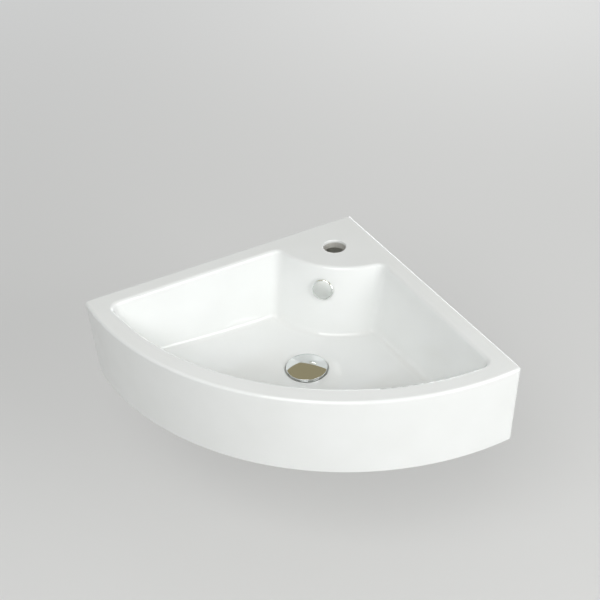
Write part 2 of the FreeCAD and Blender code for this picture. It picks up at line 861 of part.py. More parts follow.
def on_overflow(body):
    """Faces a piece out of the overflow hole, its own z axis square to the bowl's back wall."""
    across = "overflow_reach / sqrt(2)"
    return set_down(body, across, f"0 - {across}", "overflow_height", "rotation(-45; 90 - deck_slope; 0)")


def make_overflow_fittings():
    cover_back = "insert_flange_thickness + cover_gap"
    cover = turned("overflow_cover", [
        ("0", f"{cover_back} - cover_stem_length"),
        ("cover_stem_radius", f"{cover_back} - cover_stem_length"),
        ("cover_stem_radius", cover_back),
        ("cover_radius - cover_lip", cover_back),
        ("cover_radius - cover_lip", f"{cover_back} - cover_lip"),
        ("cover_radius", f"{cover_back} - cover_lip"),
        ("cover_radius", f"{cover_back} + cover_thickness - cover_edge"),
        ("cover_radius - cover_edge", f"{cover_back} + cover_thickness"),
        ("0", f"{cover_back} + cover_thickness + cover_crown", "0"),
    ])
    on_overflow(cover)
    grip = "overflow_radius - insert_clearance"
    insert = turned("overflow_insert", [
        ("insert_bore", "0 - insert_length"),
        (grip, "0 - insert_length"),
        (grip, "0"),
        ("insert_flange_radius", "0"),
        ("insert_flange_radius", "insert_flange_thickness"),
        ("insert_bore", "insert_flange_thickness"),
    ])
    reach = f"(insert_bore + {grip}) / 2"
    half = "insert_rib / 2"
    for name, across, along in (("ribs_across", reach, half), ("ribs_along", half, reach)):
        corners = [(across, along), (f"0 - ({across})", along),
                   (f"0 - ({across})", f"0 - ({along})"), (across, f"0 - ({along})")]
        pad(insert, name, corners, "0 - insert_length", "insert_length - insert_hub_depth")
    for name, kind, radius, spare in (("insert_hub", "PartDesign::Revolution", "insert_hub_radius", "0"),
                                      ("insert_hole", "PartDesign::Groove", "cover_stem_radius", "run_past")):
        outline = profile(
            insert, name + "_profile", "XZ_Plane",
            [("0", f"0 - insert_length - {spare}"), (radius, f"0 - insert_length - {spare}"),
             (radius, f"{spare} - insert_hub_depth"), ("0", f"{spare} - insert_hub_depth")],
        )
        feature = insert.newObject(kind, name)
        feature.Profile = outline
        feature.ReferenceAxis = (outline, ["V_Axis"])
        feature.Angle = 360
        doc.recompute()
    on_overflow(insert)


# ---- wall fixings ---------------------------------------------------------------------------

def pair(label, body):
    """The left wall's piece, whose own z axis runs into the room, and its mirror on the right wall."""
    set_down(body, "0", "0 - fixing_reach", "fixing_height", "rotation(0; 90; 0)")
    twin = doc.addObject("Part::Mirroring", label + "_right")
    twin.Source = body
    twin.Normal = FreeCAD.Vector(1, 1, 0)
    both = doc.addObject("Part::Compound", label)
    both.Links = [body, twin]
    doc.recompute()


def make_fixings():
    bolt = turned("wall_bolt_left", [
        ("0", "0 - bolt_in_wall"),
        ("bolt_radius", "bolt_point - bolt_in_wall"),
        ("bolt_radius", "0 - shank_in_wall"),
        ("shank_radius", "0 - shank_in_wall"),
        ("shank_radius", "shank_inside"),
        ("bolt_radius", "shank_inside"),
        ("bolt_radius", "bolt_inside - bolt_chamfer"),
        ("bolt_radius - bolt_chamfer", "bolt_inside"),
        ("0", "bolt_inside"),
    ])
    sleeve = turned("sleeve_left", [
        ("bolt_radius + sleeve_clearance", "apron_wall - sleeve_reach"),
        ("fixing_hole_radius - sleeve_clearance", "apron_wall - sleeve_reach"),
        ("fixing_hole_radius - sleeve_clearance", "apron_wall"),
        ("sleeve_flange_radius", "apron_wall"),
        ("sleeve_flange_radius", "sleeve_flange_top"),
        ("bolt_radius + sleeve_clearance", "sleeve_flange_top"),
    ])
    washer = ring("washer_left", "bolt_radius + sleeve_clearance", "washer_radius", "sleeve_flange_top",
                  "washer_face")
    nut = hex_nut("nut_left", "nut_flats", "bolt_radius", "washer_face", "nut_thickness")
    for label, piece in (("wall_bolts", bolt), ("bolt_sleeves", sleeve), ("bolt_washers", washer),
                         ("bolt_nuts", nut)):
        pair(label, piece)


# ---- assembly -------------------------------------------------------------------------------

make_basin()
make_waste_body()
make_clamping()
make_cartridge()
make_rotor()
make_spring()
make_plug()
make_overflow_fittings()
make_fixings()
doc.recompute()

NODES = (
    "basin_body", "overflow_cover", "overflow_insert", "waste_body", "flange_seal", "under_seal",
    "slip_washer", "back_nut", "cartridge_housing", "cartridge_cap", "cartridge_nut", "click_spring",
    "plunger", "latch_rotor", "plug_dome", "plug_seal", "plug_stem", "stem_clip",
    "wall_bolts", "bolt_sleeves", "bolt_washers", "bolt_nuts",
)

for thing in doc.Objects:
    if "Invalid" in thing.State or "Error" in thing.State:
        raise RuntimeError(f"{thing.Name} failed: {thing.State}")
for node in NODES:
    shape = doc.getObject(node).Shape
    if shape.isNull() or not shape.isValid():
        raise RuntimeError(f"{node} has no valid shape")
for node in NODES:
    doc.getObject(node).Shape.exportStep(f"parts/{node}.step")
print(f"{len(NODES)} nodes written")
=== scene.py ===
import math

import bmesh
import bpy
from mathutils import Matrix, Vector


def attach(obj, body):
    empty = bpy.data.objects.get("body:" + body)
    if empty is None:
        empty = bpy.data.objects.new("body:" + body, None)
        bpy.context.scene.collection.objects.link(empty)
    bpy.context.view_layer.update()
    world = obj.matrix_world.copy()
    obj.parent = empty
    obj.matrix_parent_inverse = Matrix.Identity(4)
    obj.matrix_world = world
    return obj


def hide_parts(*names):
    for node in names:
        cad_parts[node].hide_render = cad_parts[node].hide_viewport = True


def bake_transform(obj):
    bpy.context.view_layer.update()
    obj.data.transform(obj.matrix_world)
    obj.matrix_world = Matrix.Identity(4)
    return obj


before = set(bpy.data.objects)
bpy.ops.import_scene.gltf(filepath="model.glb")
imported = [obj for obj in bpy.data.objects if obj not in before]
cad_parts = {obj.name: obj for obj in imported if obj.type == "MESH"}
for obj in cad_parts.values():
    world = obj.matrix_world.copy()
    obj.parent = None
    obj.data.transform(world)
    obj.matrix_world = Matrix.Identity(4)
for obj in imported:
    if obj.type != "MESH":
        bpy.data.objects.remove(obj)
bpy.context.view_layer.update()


# ---- Camera ---------------------------------------------------------------------------------
# A short telephoto view down into the bowl over its round front, a little to the right, with the slight
# tilt that the hand-held photograph has.
CAMERA_AZIMUTH = math.radians(62.39)
CAMERA_ELEVATION = math.radians(35.94)
CAMERA_ROLL = math.radians(-2.15)
LENS_MM = 73.16
SENSOR_MM = 36
SIGHT_LIMIT = 50
EYE = Vector((1.4257, -0.8404, 1.1662))

camera = bpy.data.cameras.new("camera")
camera.lens = LENS_MM
camera.sensor_width = SENSOR_MM
camera.clip_end = SIGHT_LIMIT
camera_object = bpy.data.objects.new("camera", camera)
aim = Vector((
    -math.sin(CAMERA_AZIMUTH) * math.cos(CAMERA_ELEVATION),
    math.cos(CAMERA_AZIMUTH) * math.cos(CAMERA_ELEVATION),
    -math.sin(CAMERA_ELEVATION),
))
level = aim.cross(Vector((0, 0, 1))).normalized()
upright = level.cross(aim)
across = level * math.cos(CAMERA_ROLL) + upright * math.sin(CAMERA_ROLL)
over = upright * math.cos(CAMERA_ROLL) - level * math.sin(CAMERA_ROLL)
camera_object.matrix_world = Matrix.Translation(EYE) @ Matrix((across, over, -aim)).transposed().to_4x4()
bpy.context.scene.collection.objects.link(camera_object)
bpy.context.scene.camera = camera_object
bpy.context.scene.view_settings.view_transform = "Standard"


# ---- Stage and light ------------------------------------------------------------------------
# A plain pale floor, well below the basin, that runs out into a pale backdrop, with three soft lamps: low
# from the right, higher from the left, and a weak one behind. Overhead the backdrop turns khaki, and the
# camera, gloss and glass all see the same of it.
FLOOR_DROP = 0.30
FLOOR_HALF = 9.0
FLOOR_PAINT = "CFCFCD"
FLOOR_SEEN = "E4E4E2"
FLOOR_GLOW = 0.26
GLOW_FROM = 0.6
GLOW_FULL = 3.2
CLOUDS_A_METRE = 1.5
CLOUD_DEPTH = 0.04
BACKDROP_PAINT = "F4F5F5"
BACKDROP_LIGHT = 0.36
BACKDROP_SEEN = 0.72
OVERHEAD_PAINT = "BDB28F"
OVERHEAD_FROM = 0.30
OVERHEAD_FULL = 0.62
LAMP_SIZE = 1.6
LAMP_DISTANCE = 3.0
LAMP_AIM = Vector((0.17, -0.17, 0.06))
# Each lamp's watts, and the azimuth from +X towards +Y and the height in degrees that it shines from.
LAMPS = {"right_lamp": (41, 20, 22), "left_lamp": (40, -45, 45), "back_lamp": (24, 135, 12)}


def linear(code):
    """The linear colour of an sRGB hex code."""
    channels = [int(code[start:start + 2], 16) / 255 for start in (0, 2, 4)]
    return tuple(c / 12.92 if c <= 0.04045 else ((c + 0.055) / 1.055) ** 2.4 for c in channels) + (1.0,)


def add(tree, kind, inputs=None, **settings):
    """Adds a node with its settings; inputs holds values, sockets, or nodes whose first output is meant."""
    new = tree.nodes.new(kind)
    for name, value in settings.items():
        setattr(new, name, value)
    for name, value in (inputs or {}).items():
        if isinstance(value, bpy.types.Node):
            value = value.outputs[0]
        if isinstance(value, bpy.types.NodeSocket):
            tree.links.new(value, new.inputs[name])
        else:
            new.inputs[name].default_value = value
    return new


def fresh_material(name):
    """A new node material, its tree and its shader."""
    material = bpy.data.materials.new(name)
    material.use_nodes = True
    return material, material.node_tree, material.node_tree.nodes["Principled BSDF"]


def seen_rays(tree):
    """1 for the rays that show a backdrop: from the camera, off gloss or through glass."""
    ray = add(tree, "ShaderNodeLightPath")
    mirrored = add(tree, "ShaderNodeMath", {
        0: ray.outputs["Is Glossy Ray"], 1: ray.outputs["Is Transmission Ray"],
    }, operation="MAXIMUM")
    return add(tree, "ShaderNodeMath", {
        0: ray.outputs["Is Camera Ray"], 1: mirrored.outputs["Value"],
    }, operation="MAXIMUM").outputs["Value"]


floor_paint, tree, shader = fresh_material("floor_paint")
shader.inputs["Roughness"].default_value = 0.9
place = add(tree, "ShaderNodeTexCoord")
cloud = add(tree, "ShaderNodeTexNoise", {
    "Vector": place.outputs["Object"], "Scale": CLOUDS_A_METRE, "Detail": 3.0,
})
seen = seen_rays(tree)
cloudy = add(tree, "ShaderNodeMath", {0: cloud.outputs["Fac"], 1: CLOUD_DEPTH}, operation="MULTIPLY")
lighter = add(tree, "ShaderNodeMath", {0: seen, 1: cloudy.outputs["Value"]}, operation="SUBTRACT")
tone = add(tree, "ShaderNodeMixRGB", {
    "Fac": lighter.outputs["Value"], "Color1": linear(FLOOR_PAINT), "Color2": linear(FLOOR_SEEN),
})
tree.links.new(tone.outputs["Color"], shader.inputs["Base Color"])
away = add(tree, "ShaderNodeVectorMath", {0: place.outputs["Object"]}, operation="LENGTH")
fading = add(tree, "ShaderNodeMapRange", {
    "Value": away.outputs["Value"], "From Min": GLOW_FROM, "From Max": GLOW_FULL,
    "To Min": FLOOR_GLOW, "To Max": 1.0,
}, interpolation_type="SMOOTHSTEP")
share = add(tree, "ShaderNodeMath", {0: seen, 1: fading.outputs["Result"]}, operation="MULTIPLY")
glow = add(tree, "ShaderNodeEmission", {"Color": linear(BACKDROP_PAINT), "Strength": BACKDROP_SEEN})
lifted = add(tree, "ShaderNodeMixShader", {
    "Fac": share.outputs["Value"], 1: shader.outputs["BSDF"], 2: glow.outputs["Emission"],
})
side = add(tree, "ShaderNodeNewGeometry")
from_below = add(tree, "ShaderNodeMixShader", {
    "Fac": side.outputs["Backfacing"], 1: lifted.outputs["Shader"],
    2: add(tree, "ShaderNodeBsdfTransparent").outputs["BSDF"],
})
tree.links.new(from_below.outputs["Shader"], tree.nodes["Material Output"].inputs["Surface"])
floor_mesh = bpy.data.meshes.new("floor")
floor_mesh.from_pydata(
    [(x * FLOOR_HALF, y * FLOOR_HALF, 0) for x, y in ((-1, -1), (1, -1), (1, 1), (-1, 1))],
    [], [(0, 1, 2, 3)],
)
floor_mesh.materials.append(floor_paint)
floor = bpy.data.objects.new("floor", floor_mesh)
floor.location.z = -FLOOR_DROP
bpy.context.scene.collection.objects.link(floor)

world = bpy.data.worlds.new("backdrop")
world.use_nodes = True
bpy.context.scene.world = world
sky = world.node_tree
view_of = add(sky, "ShaderNodeTexCoord")
parts_of = add(sky, "ShaderNodeSeparateXYZ", {"Vector": view_of.outputs["Generated"]})
rise_ramp = add(sky, "ShaderNodeMapRange", {
    "Value": parts_of.outputs["Z"], "From Min": OVERHEAD_FROM, "From Max": OVERHEAD_FULL,
    "To Min": 0.0, "To Max": 1.0,
}, interpolation_type="SMOOTHSTEP")
sky_colour = add(sky, "ShaderNodeMixRGB", {
    "Fac": rise_ramp.outputs["Result"], "Color1": linear(BACKDROP_PAINT), "Color2": linear(OVERHEAD_PAINT),
})
light = sky.nodes["Background"]
light.inputs["Color"].default_value = linear(BACKDROP_PAINT)
light.inputs["Strength"].default_value = BACKDROP_LIGHT
backdrop = add(sky, "ShaderNodeBackground", {
    "Color": sky_colour.outputs["Color"], "Strength": BACKDROP_SEEN,
})
lit_or_seen = add(sky, "ShaderNodeMixShader", {
    "Fac": seen_rays(sky), 1: light.outputs["Background"], 2: backdrop.outputs["Background"],
})
sky.links.new(lit_or_seen.outputs["Shader"], sky.nodes["World Output"].inputs["Surface"])


for name, (watts, azimuth, height) in LAMPS.items():
    lamp = bpy.data.lights.new(name, "AREA")
    lamp.energy = watts
    lamp.size = LAMP_SIZE
    holder = bpy.data.objects.new(name, lamp)
    flat = math.cos(math.radians(height))
    toward = Vector((
        math.cos(math.radians(azimuth)) * flat,
        math.sin(math.radians(azimuth)) * flat,
        math.sin(math.radians(height)),
    ))
    holder.location = LAMP_AIM + toward * LAMP_DISTANCE
    holder.rotation_euler = toward.to_track_quat("Z", "Y").to_euler()
    bpy.context.scene.collection.objects.link(holder)


# ---- China ----------------------------------------------------------------------------------
# The basin itself: vitreous china, slip-cast in plaster, sprayed with an opaque white glaze and fired
# once. Its two back faces, the foot, and the low ends of the outlet boss and the duct stay bare biscuit.
MM = 0.001
RIM_MM = 132.0
FRONT_CENTRE_MM = 18.0
FRONT_RADIUS_MM = 432.37
FRONT_DRAFT = math.radians(3.3)
WASTE_MM = 183.85
RECESS_MM = 33.0
SEAT_MM = 17.0

# Vitreous glaze: deep gloss over a white that pools a little thicker in places. Its surface swims in
# long low waves, and close up it has the faint pitting of sprayed glaze.
GLAZE = "F6F8F7"
GLAZE_THIN = "EFF1EF"
GLAZE_ROUGHNESS = 0.055
POOL_MM = 70.0
WAVE_MM = 26.0
WAVE_DEPTH_MM = 0.25
PITS_MM = 2.5
PITS_DEPTH_MM = 0.03
# Inside the hollow the spray only dusts the body: a duller, mottled coat, painted in a grey darker than the
# bare body, which is painted shade that keeps the hollow and the tap hole's lower bore dark. It starts about
# the skin's thickness behind the front, ends under the rim, and keeps out of the recess round the waste.
DUSTED_SHADE_GREY = "C0BFB9"
DUSTED_BARE_SHADE_GREY = "B7B5AE"
DUSTED_DULLER = 0.28
DUST_MM = 3.0
SKIN_MM = (5.0, 6.5)
UNDER_RIM_MM = (6.0, 3.0)
FACING_DOWN = (0.12, 0.22)
PAST_RECESS_MM = 1.5
BELOW_SEAT_MM = 0.4
# Biscuit: the bare fired body, cream, dry and finely gritty, with a wandering edge to the glaze. Its grit
# is drawn coarser than it is, so that it shows.
BISCUIT = "E9E6DC"
BISCUIT_PALE = "ECEAE2"
BISCUIT_DULLER = 0.78
BISCUIT_CLOUD_MM = 24.0
GRIT_MM = 0.9
GRIT_DEPTH_MM = 0.25
EDGE_MM = (0.45, 0.75)
EDGE_WANDER_MM = 1.6
EDGE_PATCH_MM = 9.0

glaze, tree, shader = fresh_material("white_glazed_china")
shader.inputs["IOR"].default_value = 1.52
place = add(tree, "ShaderNodeTexCoord")
where = add(tree, "ShaderNodeSeparateXYZ", {"Vector": place.outputs["Object"]})
facing = add(tree, "ShaderNodeNewGeometry")
tilt = add(tree, "ShaderNodeSeparateXYZ", {"Vector": facing.outputs["Normal"]})
# Soft noise for each use: the size of its patches in mm, and the detail in them.
pool, dust, cloud, edge, wave, pits, grain = [
    add(tree, "ShaderNodeTexNoise", {
        "Vector": place.outputs["Object"], "Scale": 1 / (size_mm * MM), "Detail": detail,
    })
    for size_mm, detail in (
        (POOL_MM, 2.0), (DUST_MM, 4.0), (BISCUIT_CLOUD_MM, 6.0), (EDGE_PATCH_MM, 3.0), (WAVE_MM, 1.0),
        (PITS_MM, 1.0), (GRIT_MM, 2.0),
    )
]


def from_axis(centre_mm):
    """How far a point is from the upright axis through (centre, -centre)."""
    along_x = add(tree, "ShaderNodeMath", {0: where.outputs["X"], 1: centre_mm * MM}, operation="SUBTRACT")
    along_y = add(tree, "ShaderNodeMath", {0: where.outputs["Y"], 1: centre_mm * MM}, operation="ADD")
    square_x = add(tree, "ShaderNodeMath", {0: along_x, 1: along_x}, operation="MULTIPLY")
    square_y = add(tree, "ShaderNodeMath", {0: along_y, 1: along_y}, operation="MULTIPLY")
    both = add(tree, "ShaderNodeMath", {0: square_x, 1: square_y}, operation="ADD")
    return add(tree, "ShaderNodeMath", {0: both}, operation="SQRT")


# Bare: within about half a millimetre of a back face or of the foot's level, and all below that level.
to_left = add(tree, "ShaderNodeMath", {0: where.outputs["Y"], 1: -1.0}, operation="MULTIPLY")
to_back = add(tree, "ShaderNodeMath", {0: where.outputs["X"], 1: to_left}, operation="MINIMUM")
to_bare = add(tree, "ShaderNodeMath", {0: to_back, 1: where.outputs["Z"]}, operation="MINIMUM")
swing = add(tree, "ShaderNodeMath", {0: edge, 1: 0.5}, operation="SUBTRACT")
wander = add(tree, "ShaderNodeMath", {0: swing, 1: EDGE_WANDER_MM * MM}, operation="MULTIPLY")
glaze_line = add(tree, "ShaderNodeMath", {0: to_bare, 1: wander}, operation="ADD")
bare = add(tree, "ShaderNodeMapRange", {
    "Value": glaze_line, "From Min": EDGE_MM[0] * MM, "From Max": EDGE_MM[1] * MM,
    "To Min": 1.0, "To Max": 0.0,
}, interpolation_type="SMOOTHSTEP")

# Hollow coat and shade: the hollow's faces, which look down or sideways and lie behind the front and the
# back faces. There the thin coat lies, and there grey is painted for shade.
front_at_foot = (FRONT_RADIUS_MM - RIM_MM * math.tan(FRONT_DRAFT)) * MM
leaning = add(tree, "ShaderNodeMath", {
    0: where.outputs["Z"], 1: math.tan(FRONT_DRAFT),
}, operation="MULTIPLY")
front_here = add(tree, "ShaderNodeMath", {0: leaning, 1: front_at_foot}, operation="ADD")
behind_front = add(tree, "ShaderNodeMath", {
    0: front_here, 1: from_axis(FRONT_CENTRE_MM),
}, operation="SUBTRACT")
depth_in = add(tree, "ShaderNodeMath", {0: behind_front, 1: to_back}, operation="MINIMUM")
inside = add(tree, "ShaderNodeMapRange", {
    "Value": depth_in, "From Min": SKIN_MM[0] * MM, "From Max": SKIN_MM[1] * MM,
}, interpolation_type="SMOOTHSTEP")
near_waste = add(tree, "ShaderNodeMath", {
    0: from_axis(WASTE_MM), 1: (RECESS_MM + PAST_RECESS_MM) * MM,
}, operation="LESS_THAN")
over_seat = add(tree, "ShaderNodeMath", {
    0: where.outputs["Z"], 1: (SEAT_MM - BELOW_SEAT_MM) * MM,
}, operation="GREATER_THAN")
in_recess = add(tree, "ShaderNodeMath", {0: near_waste, 1: over_seat}, operation="MULTIPLY")
off_recess = add(tree, "ShaderNodeMath", {0: 1.0, 1: in_recess}, operation="SUBTRACT")
turned_away = add(tree, "ShaderNodeMapRange", {
    "Value": tilt.outputs["Z"], "From Min": FACING_DOWN[0], "From Max": FACING_DOWN[1],
    "To Min": 1.0, "To Max": 0.0,
}, interpolation_type="SMOOTHSTEP")
below_rim = add(tree, "ShaderNodeMapRange", {
    "Value": where.outputs["Z"],
    "From Min": (RIM_MM - UNDER_RIM_MM[0]) * MM, "From Max": (RIM_MM - UNDER_RIM_MM[1]) * MM,
    "To Min": 1.0, "To Max": 0.0,
}, interpolation_type="SMOOTHSTEP")
hollow_coat_and_shade = add(tree, "ShaderNodeMath", {0: turned_away, 1: inside}, operation="MULTIPLY")
hollow_coat_and_shade = add(tree, "ShaderNodeMath", {0: hollow_coat_and_shade, 1: off_recess}, operation="MULTIPLY")
hollow_coat_and_shade = add(tree, "ShaderNodeMath", {0: hollow_coat_and_shade, 1: below_rim}, operation="MULTIPLY")

pooled = add(tree, "ShaderNodeMixRGB", {"Fac": pool, "Color1": linear(GLAZE), "Color2": linear(GLAZE_THIN)})
dust_patch = add(tree, "ShaderNodeMapRange", {
    "Value": dust, "From Min": 0.4, "From Max": 0.68,
}, interpolation_type="SMOOTHSTEP")
# Painted shade: the hollow's coat is a mottle of two greys darker than the bare body, so the hollow and the
# tap hole's lower bore read dark.
dusted_and_shaded = add(tree, "ShaderNodeMixRGB", {
    "Fac": dust_patch, "Color1": linear(DUSTED_SHADE_GREY), "Color2": linear(DUSTED_BARE_SHADE_GREY),
})
pale_patch = add(tree, "ShaderNodeMapRange", {
    "Value": cloud, "From Min": 0.3, "From Max": 0.7,
}, interpolation_type="SMOOTHSTEP")
biscuit = add(tree, "ShaderNodeMixRGB", {
    "Fac": pale_patch, "Color1": linear(BISCUIT), "Color2": linear(BISCUIT_PALE),
})
# White glaze outside, and the grey of painted shade inside the hollow.
coat_and_shade = add(tree, "ShaderNodeMixRGB", {"Fac": hollow_coat_and_shade, "Color1": pooled, "Color2": dusted_and_shaded})
body_colour = add(tree, "ShaderNodeMixRGB", {"Fac": bare, "Color1": coat_and_shade, "Color2": biscuit})
tree.links.new(body_colour.outputs["Color"], shader.inputs["Base Color"])

duller = add(tree, "ShaderNodeMath", {0: hollow_coat_and_shade, 1: DUSTED_DULLER}, operation="MULTIPLY")
coat = add(tree, "ShaderNodeMath", {0: GLAZE_ROUGHNESS, 1: duller}, operation="ADD")
dry = add(tree, "ShaderNodeMath", {0: bare, 1: BISCUIT_DULLER}, operation="MULTIPLY")
gloss = add(tree, "ShaderNodeMath", {0: coat, 1: dry}, operation="ADD")
tree.links.new(gloss.outputs["Value"], shader.inputs["Roughness"])

wave_bump = add(tree, "ShaderNodeBump", {"Strength": 0.35, "Distance": WAVE_DEPTH_MM * MM, "Height": wave})
pit_bump = add(tree, "ShaderNodeBump", {
    "Strength": 0.12, "Distance": PITS_DEPTH_MM * MM, "Height": pits, "Normal": wave_bump,
})
half_gritty = add(tree, "ShaderNodeMath", {0: hollow_coat_and_shade, 1: 0.5}, operation="MULTIPLY")
gritty = add(tree, "ShaderNodeMath", {0: bare, 1: half_gritty}, operation="MAXIMUM")
grit = add(tree, "ShaderNodeMath", {0: gritty, 1: grain}, operation="MULTIPLY")
relief = add(tree, "ShaderNodeMath", {0: grit, 1: bare}, operation="SUBTRACT")
body_bump = add(tree, "ShaderNodeBump", {
    "Strength": 0.6, "Distance": GRIT_DEPTH_MM * MM, "Height": relief, "Normal": pit_bump,
})
tree.links.new(body_bump.outputs["Normal"], shader.inputs["Normal"])


def dress(node_name, material):
    """Gives a carried-over CAD node its finish."""
    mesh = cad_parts[node_name].data
    mesh.materials.clear()
    mesh.materials.append(material)


dress("basin_body", glaze)


# ---- Waste ----------------------------------------------------------------------------------
# A click waste of turned brass, chrome plated: a dished flange that seats in the bowl, a tail with the
# G 1 1/4 pipe thread, two overflow slots, and a cross with a hub that carries the cartridge.
TAIL_THREAD_MM = 2.309
FLANGE_TOP_MM = 22.0
TAIL_BOTTOM_MM = -56.0
TAIL_RADIUS_MM = 20.95
HUB_MM = (-30.0, -22.0)
HUB_BORE_MM = 6
HUB_RADIUS_MM = 9
SPOKE_MM = (-29.9, -22.1)
SPOKE_SIDES_MM = (12, 4)
SPOKE_OUT_MM = 13.4
SLOT_MM = (-1.0, 12.0)
SLOT_SIDES_MM = (60, 12)
EASING_STEPS = 6
STEPS_A_PITCH = 8
THIN_MM = 4
CRISP_ANGLE = math.radians(38)
SLIVER_MM = 0.004
ON_WASTE = (Matrix.Translation((WASTE_MM * MM, -WASTE_MM * MM, 0))
            @ Matrix.Rotation(math.radians(-45), 4, "Z"))

# Chrome plate: a cool bright mirror, wiped but not flawless, with a faint haze in patches, over metal
# that swells a little where it was pressed or buffed.
HAZE_MM = 14
SWELL_MM = 9
SWELL_DEPTH_MM = 0.1
chrome, tree, shader = fresh_material("polished_chrome_plate")
shader.inputs["Base Color"].default_value = linear("DADDDE")
shader.inputs["Metallic"].default_value = 1.0
place = add(tree, "ShaderNodeTexCoord")
haze = add(tree, "ShaderNodeTexNoise", {
    "Vector": place.outputs["Object"], "Scale": 1 / (HAZE_MM * MM), "Detail": 3.0,
})
wiped = add(tree, "ShaderNodeMapRange", {
    "Value": haze.outputs["Fac"], "From Min": 0.3, "From Max": 0.75, "To Min": 0.035, "To Max": 0.11,
})
tree.links.new(wiped.outputs["Result"], shader.inputs["Roughness"])
swell = add(tree, "ShaderNodeTexNoise", {
    "Vector": place.outputs["Object"], "Scale": 1 / (SWELL_MM * MM), "Detail": 1.0,
})
pressed = add(tree, "ShaderNodeBump", {
    "Strength": 0.12, "Distance": SWELL_DEPTH_MM * MM, "Height": swell.outputs["Fac"],
})
tree.links.new(pressed.outputs["Normal"], shader.inputs["Normal"])


def eased(outline):
    """The outline's points; a corner (radius, height, easing) becomes a small arc."""
    points = []
    for here, corner in enumerate(outline):
        tip = Vector(corner[:2])
        if len(corner) == 2:
            points.append(tip)
            continue
        before = (Vector(outline[here - 1][:2]) - tip).normalized()
        after = (Vector(outline[(here + 1) % len(outline)][:2]) - tip).normalized()
        half = before.angle(after) / 2
        middle = tip + (before + after).normalized() * corner[2] / math.sin(half)
        start = tip + before * corner[2] / math.tan(half) - middle
        stop = tip + after * corner[2] / math.tan(half) - middle
        sweep = math.atan2(start.cross(stop), start.dot(stop))
        for step in range(EASING_STEPS + 1):
            points.append(middle + Matrix.Rotation(sweep * step / EASING_STEPS, 2) @ start)
    return points


def threaded(points, threads):
    """Cuts an outline's runs into short steps where a thread lies on them."""
    fine = []
    for start, stop in zip(points, points[1:] + points[:1]):
        fine.append(start)
        for low, high, pitch, depth, _ in threads:
            on_run = min(start.y, stop.y) >= low - 0.01 and max(start.y, stop.y) <= high + 0.01
            if on_run and abs(start.y - stop.y) > pitch and min(start.x, stop.x) > depth * 0.2:
                count = int(abs(start.y - stop.y) / pitch * STEPS_A_PITCH)
                fine += [start.lerp(stop, step / count) for step in range(1, count)]
    return fine


def turned(name, outline, material, threads=(), core=0, columns=96):
    """A turned piece about its own z axis from (radius, height) in mm, closed, with cut threads.

    A thread is (low, high, pitch, depth, crest): crest is the share of the pitch that its ridge takes.
    Threads lie outside the radius core, and run out where the piece gets thin.
    """
    points = threaded(eased(outline), threads)
    shape = bmesh.new()
    rows = []
    for point in points:
        if point.x < 1e-6:
            rows.append([shape.verts.new((0, 0, point.y * MM))] * columns)
            continue
        row = []
        for column in range(columns):
            turn = column / columns
            radius = point.x
            for low, high, pitch, depth, crest in threads:
                if low < point.y < high and point.x > core:
                    share = (point.y / pitch - turn) % 1
                    groove = min(1, (1 - abs(2 * share - 1)) / (1 - crest))
                    fade = min(1, (point.y - low) / pitch, (high - point.y) / pitch)
                    radius -= depth * groove * fade * min(1, point.x / THIN_MM)
            angle = 2 * math.pi * turn
            row.append(shape.verts.new((
                radius * math.cos(angle) * MM, radius * math.sin(angle) * MM, point.y * MM,
            )))
        rows.append(row)
    poles = points[0].x < 1e-6
    for lower, upper in zip(rows, rows[1:] if poles else rows[1:] + rows[:1]):
        for column in range(columns):
            ahead = (column + 1) % columns
            corners = []
            for vert in (lower[column], lower[ahead], upper[ahead], upper[column]):
                if vert not in corners:
                    corners.append(vert)
            shape.faces.new(corners)
    bmesh.ops.recalc_face_normals(shape, faces=shape.faces)
    mesh = bpy.data.meshes.new(name)
    shape.to_mesh(mesh)
    shape.free()
    return settled(name, mesh, material)


def settled(name, mesh, material):
    """A mesh as an object in the scene, smooth with its real edges kept crisp."""
    mesh.shade_smooth()
    mesh.set_sharp_from_angle(angle=CRISP_ANGLE)
    mesh.materials.append(material)
    piece = bpy.data.objects.new(name, mesh)
    bpy.context.scene.collection.objects.link(piece)
    return piece


def joined(piece, tool, operation="UNION"):
    """Joins a tool to a piece, or cuts it away, and drops the tool and the slivers that it leaves."""
    step = piece.modifiers.new("step", "BOOLEAN")
    step.object = tool
    step.operation = operation
    step.solver = "EXACT"
    shape = piece.evaluated_get(bpy.context.evaluated_depsgraph_get())
    mesh = bpy.data.meshes.new_from_object(shape)
    tidy = bmesh.new()
    tidy.from_mesh(mesh)
    bmesh.ops.triangulate(tidy, faces=tidy.faces)
    bmesh.ops.dissolve_degenerate(tidy, dist=SLIVER_MM * MM, edges=tidy.edges)
    bmesh.ops.triangulate(tidy, faces=tidy.faces)
    tidy.to_mesh(mesh)
    tidy.free()
    piece.modifiers.clear()
    piece.data = mesh
    mesh.set_sharp_from_angle(angle=CRISP_ANGLE)
    bpy.data.objects.remove(tool)


def block(sides, low, high, material):
    """A plain block about the z axis, in mm."""
    shape = bmesh.new()
    middle = Matrix.Translation((0, 0, (low + high) / 2 * MM))
    size = Matrix.Diagonal((sides[0] * MM, sides[1] * MM, (high - low) * MM, 1))
    bmesh.ops.create_cube(shape, size=1, matrix=middle @ size)
    mesh = bpy.data.meshes.new("block")
    shape.to_mesh(mesh)
    shape.free()
    return settled("block", mesh, material)


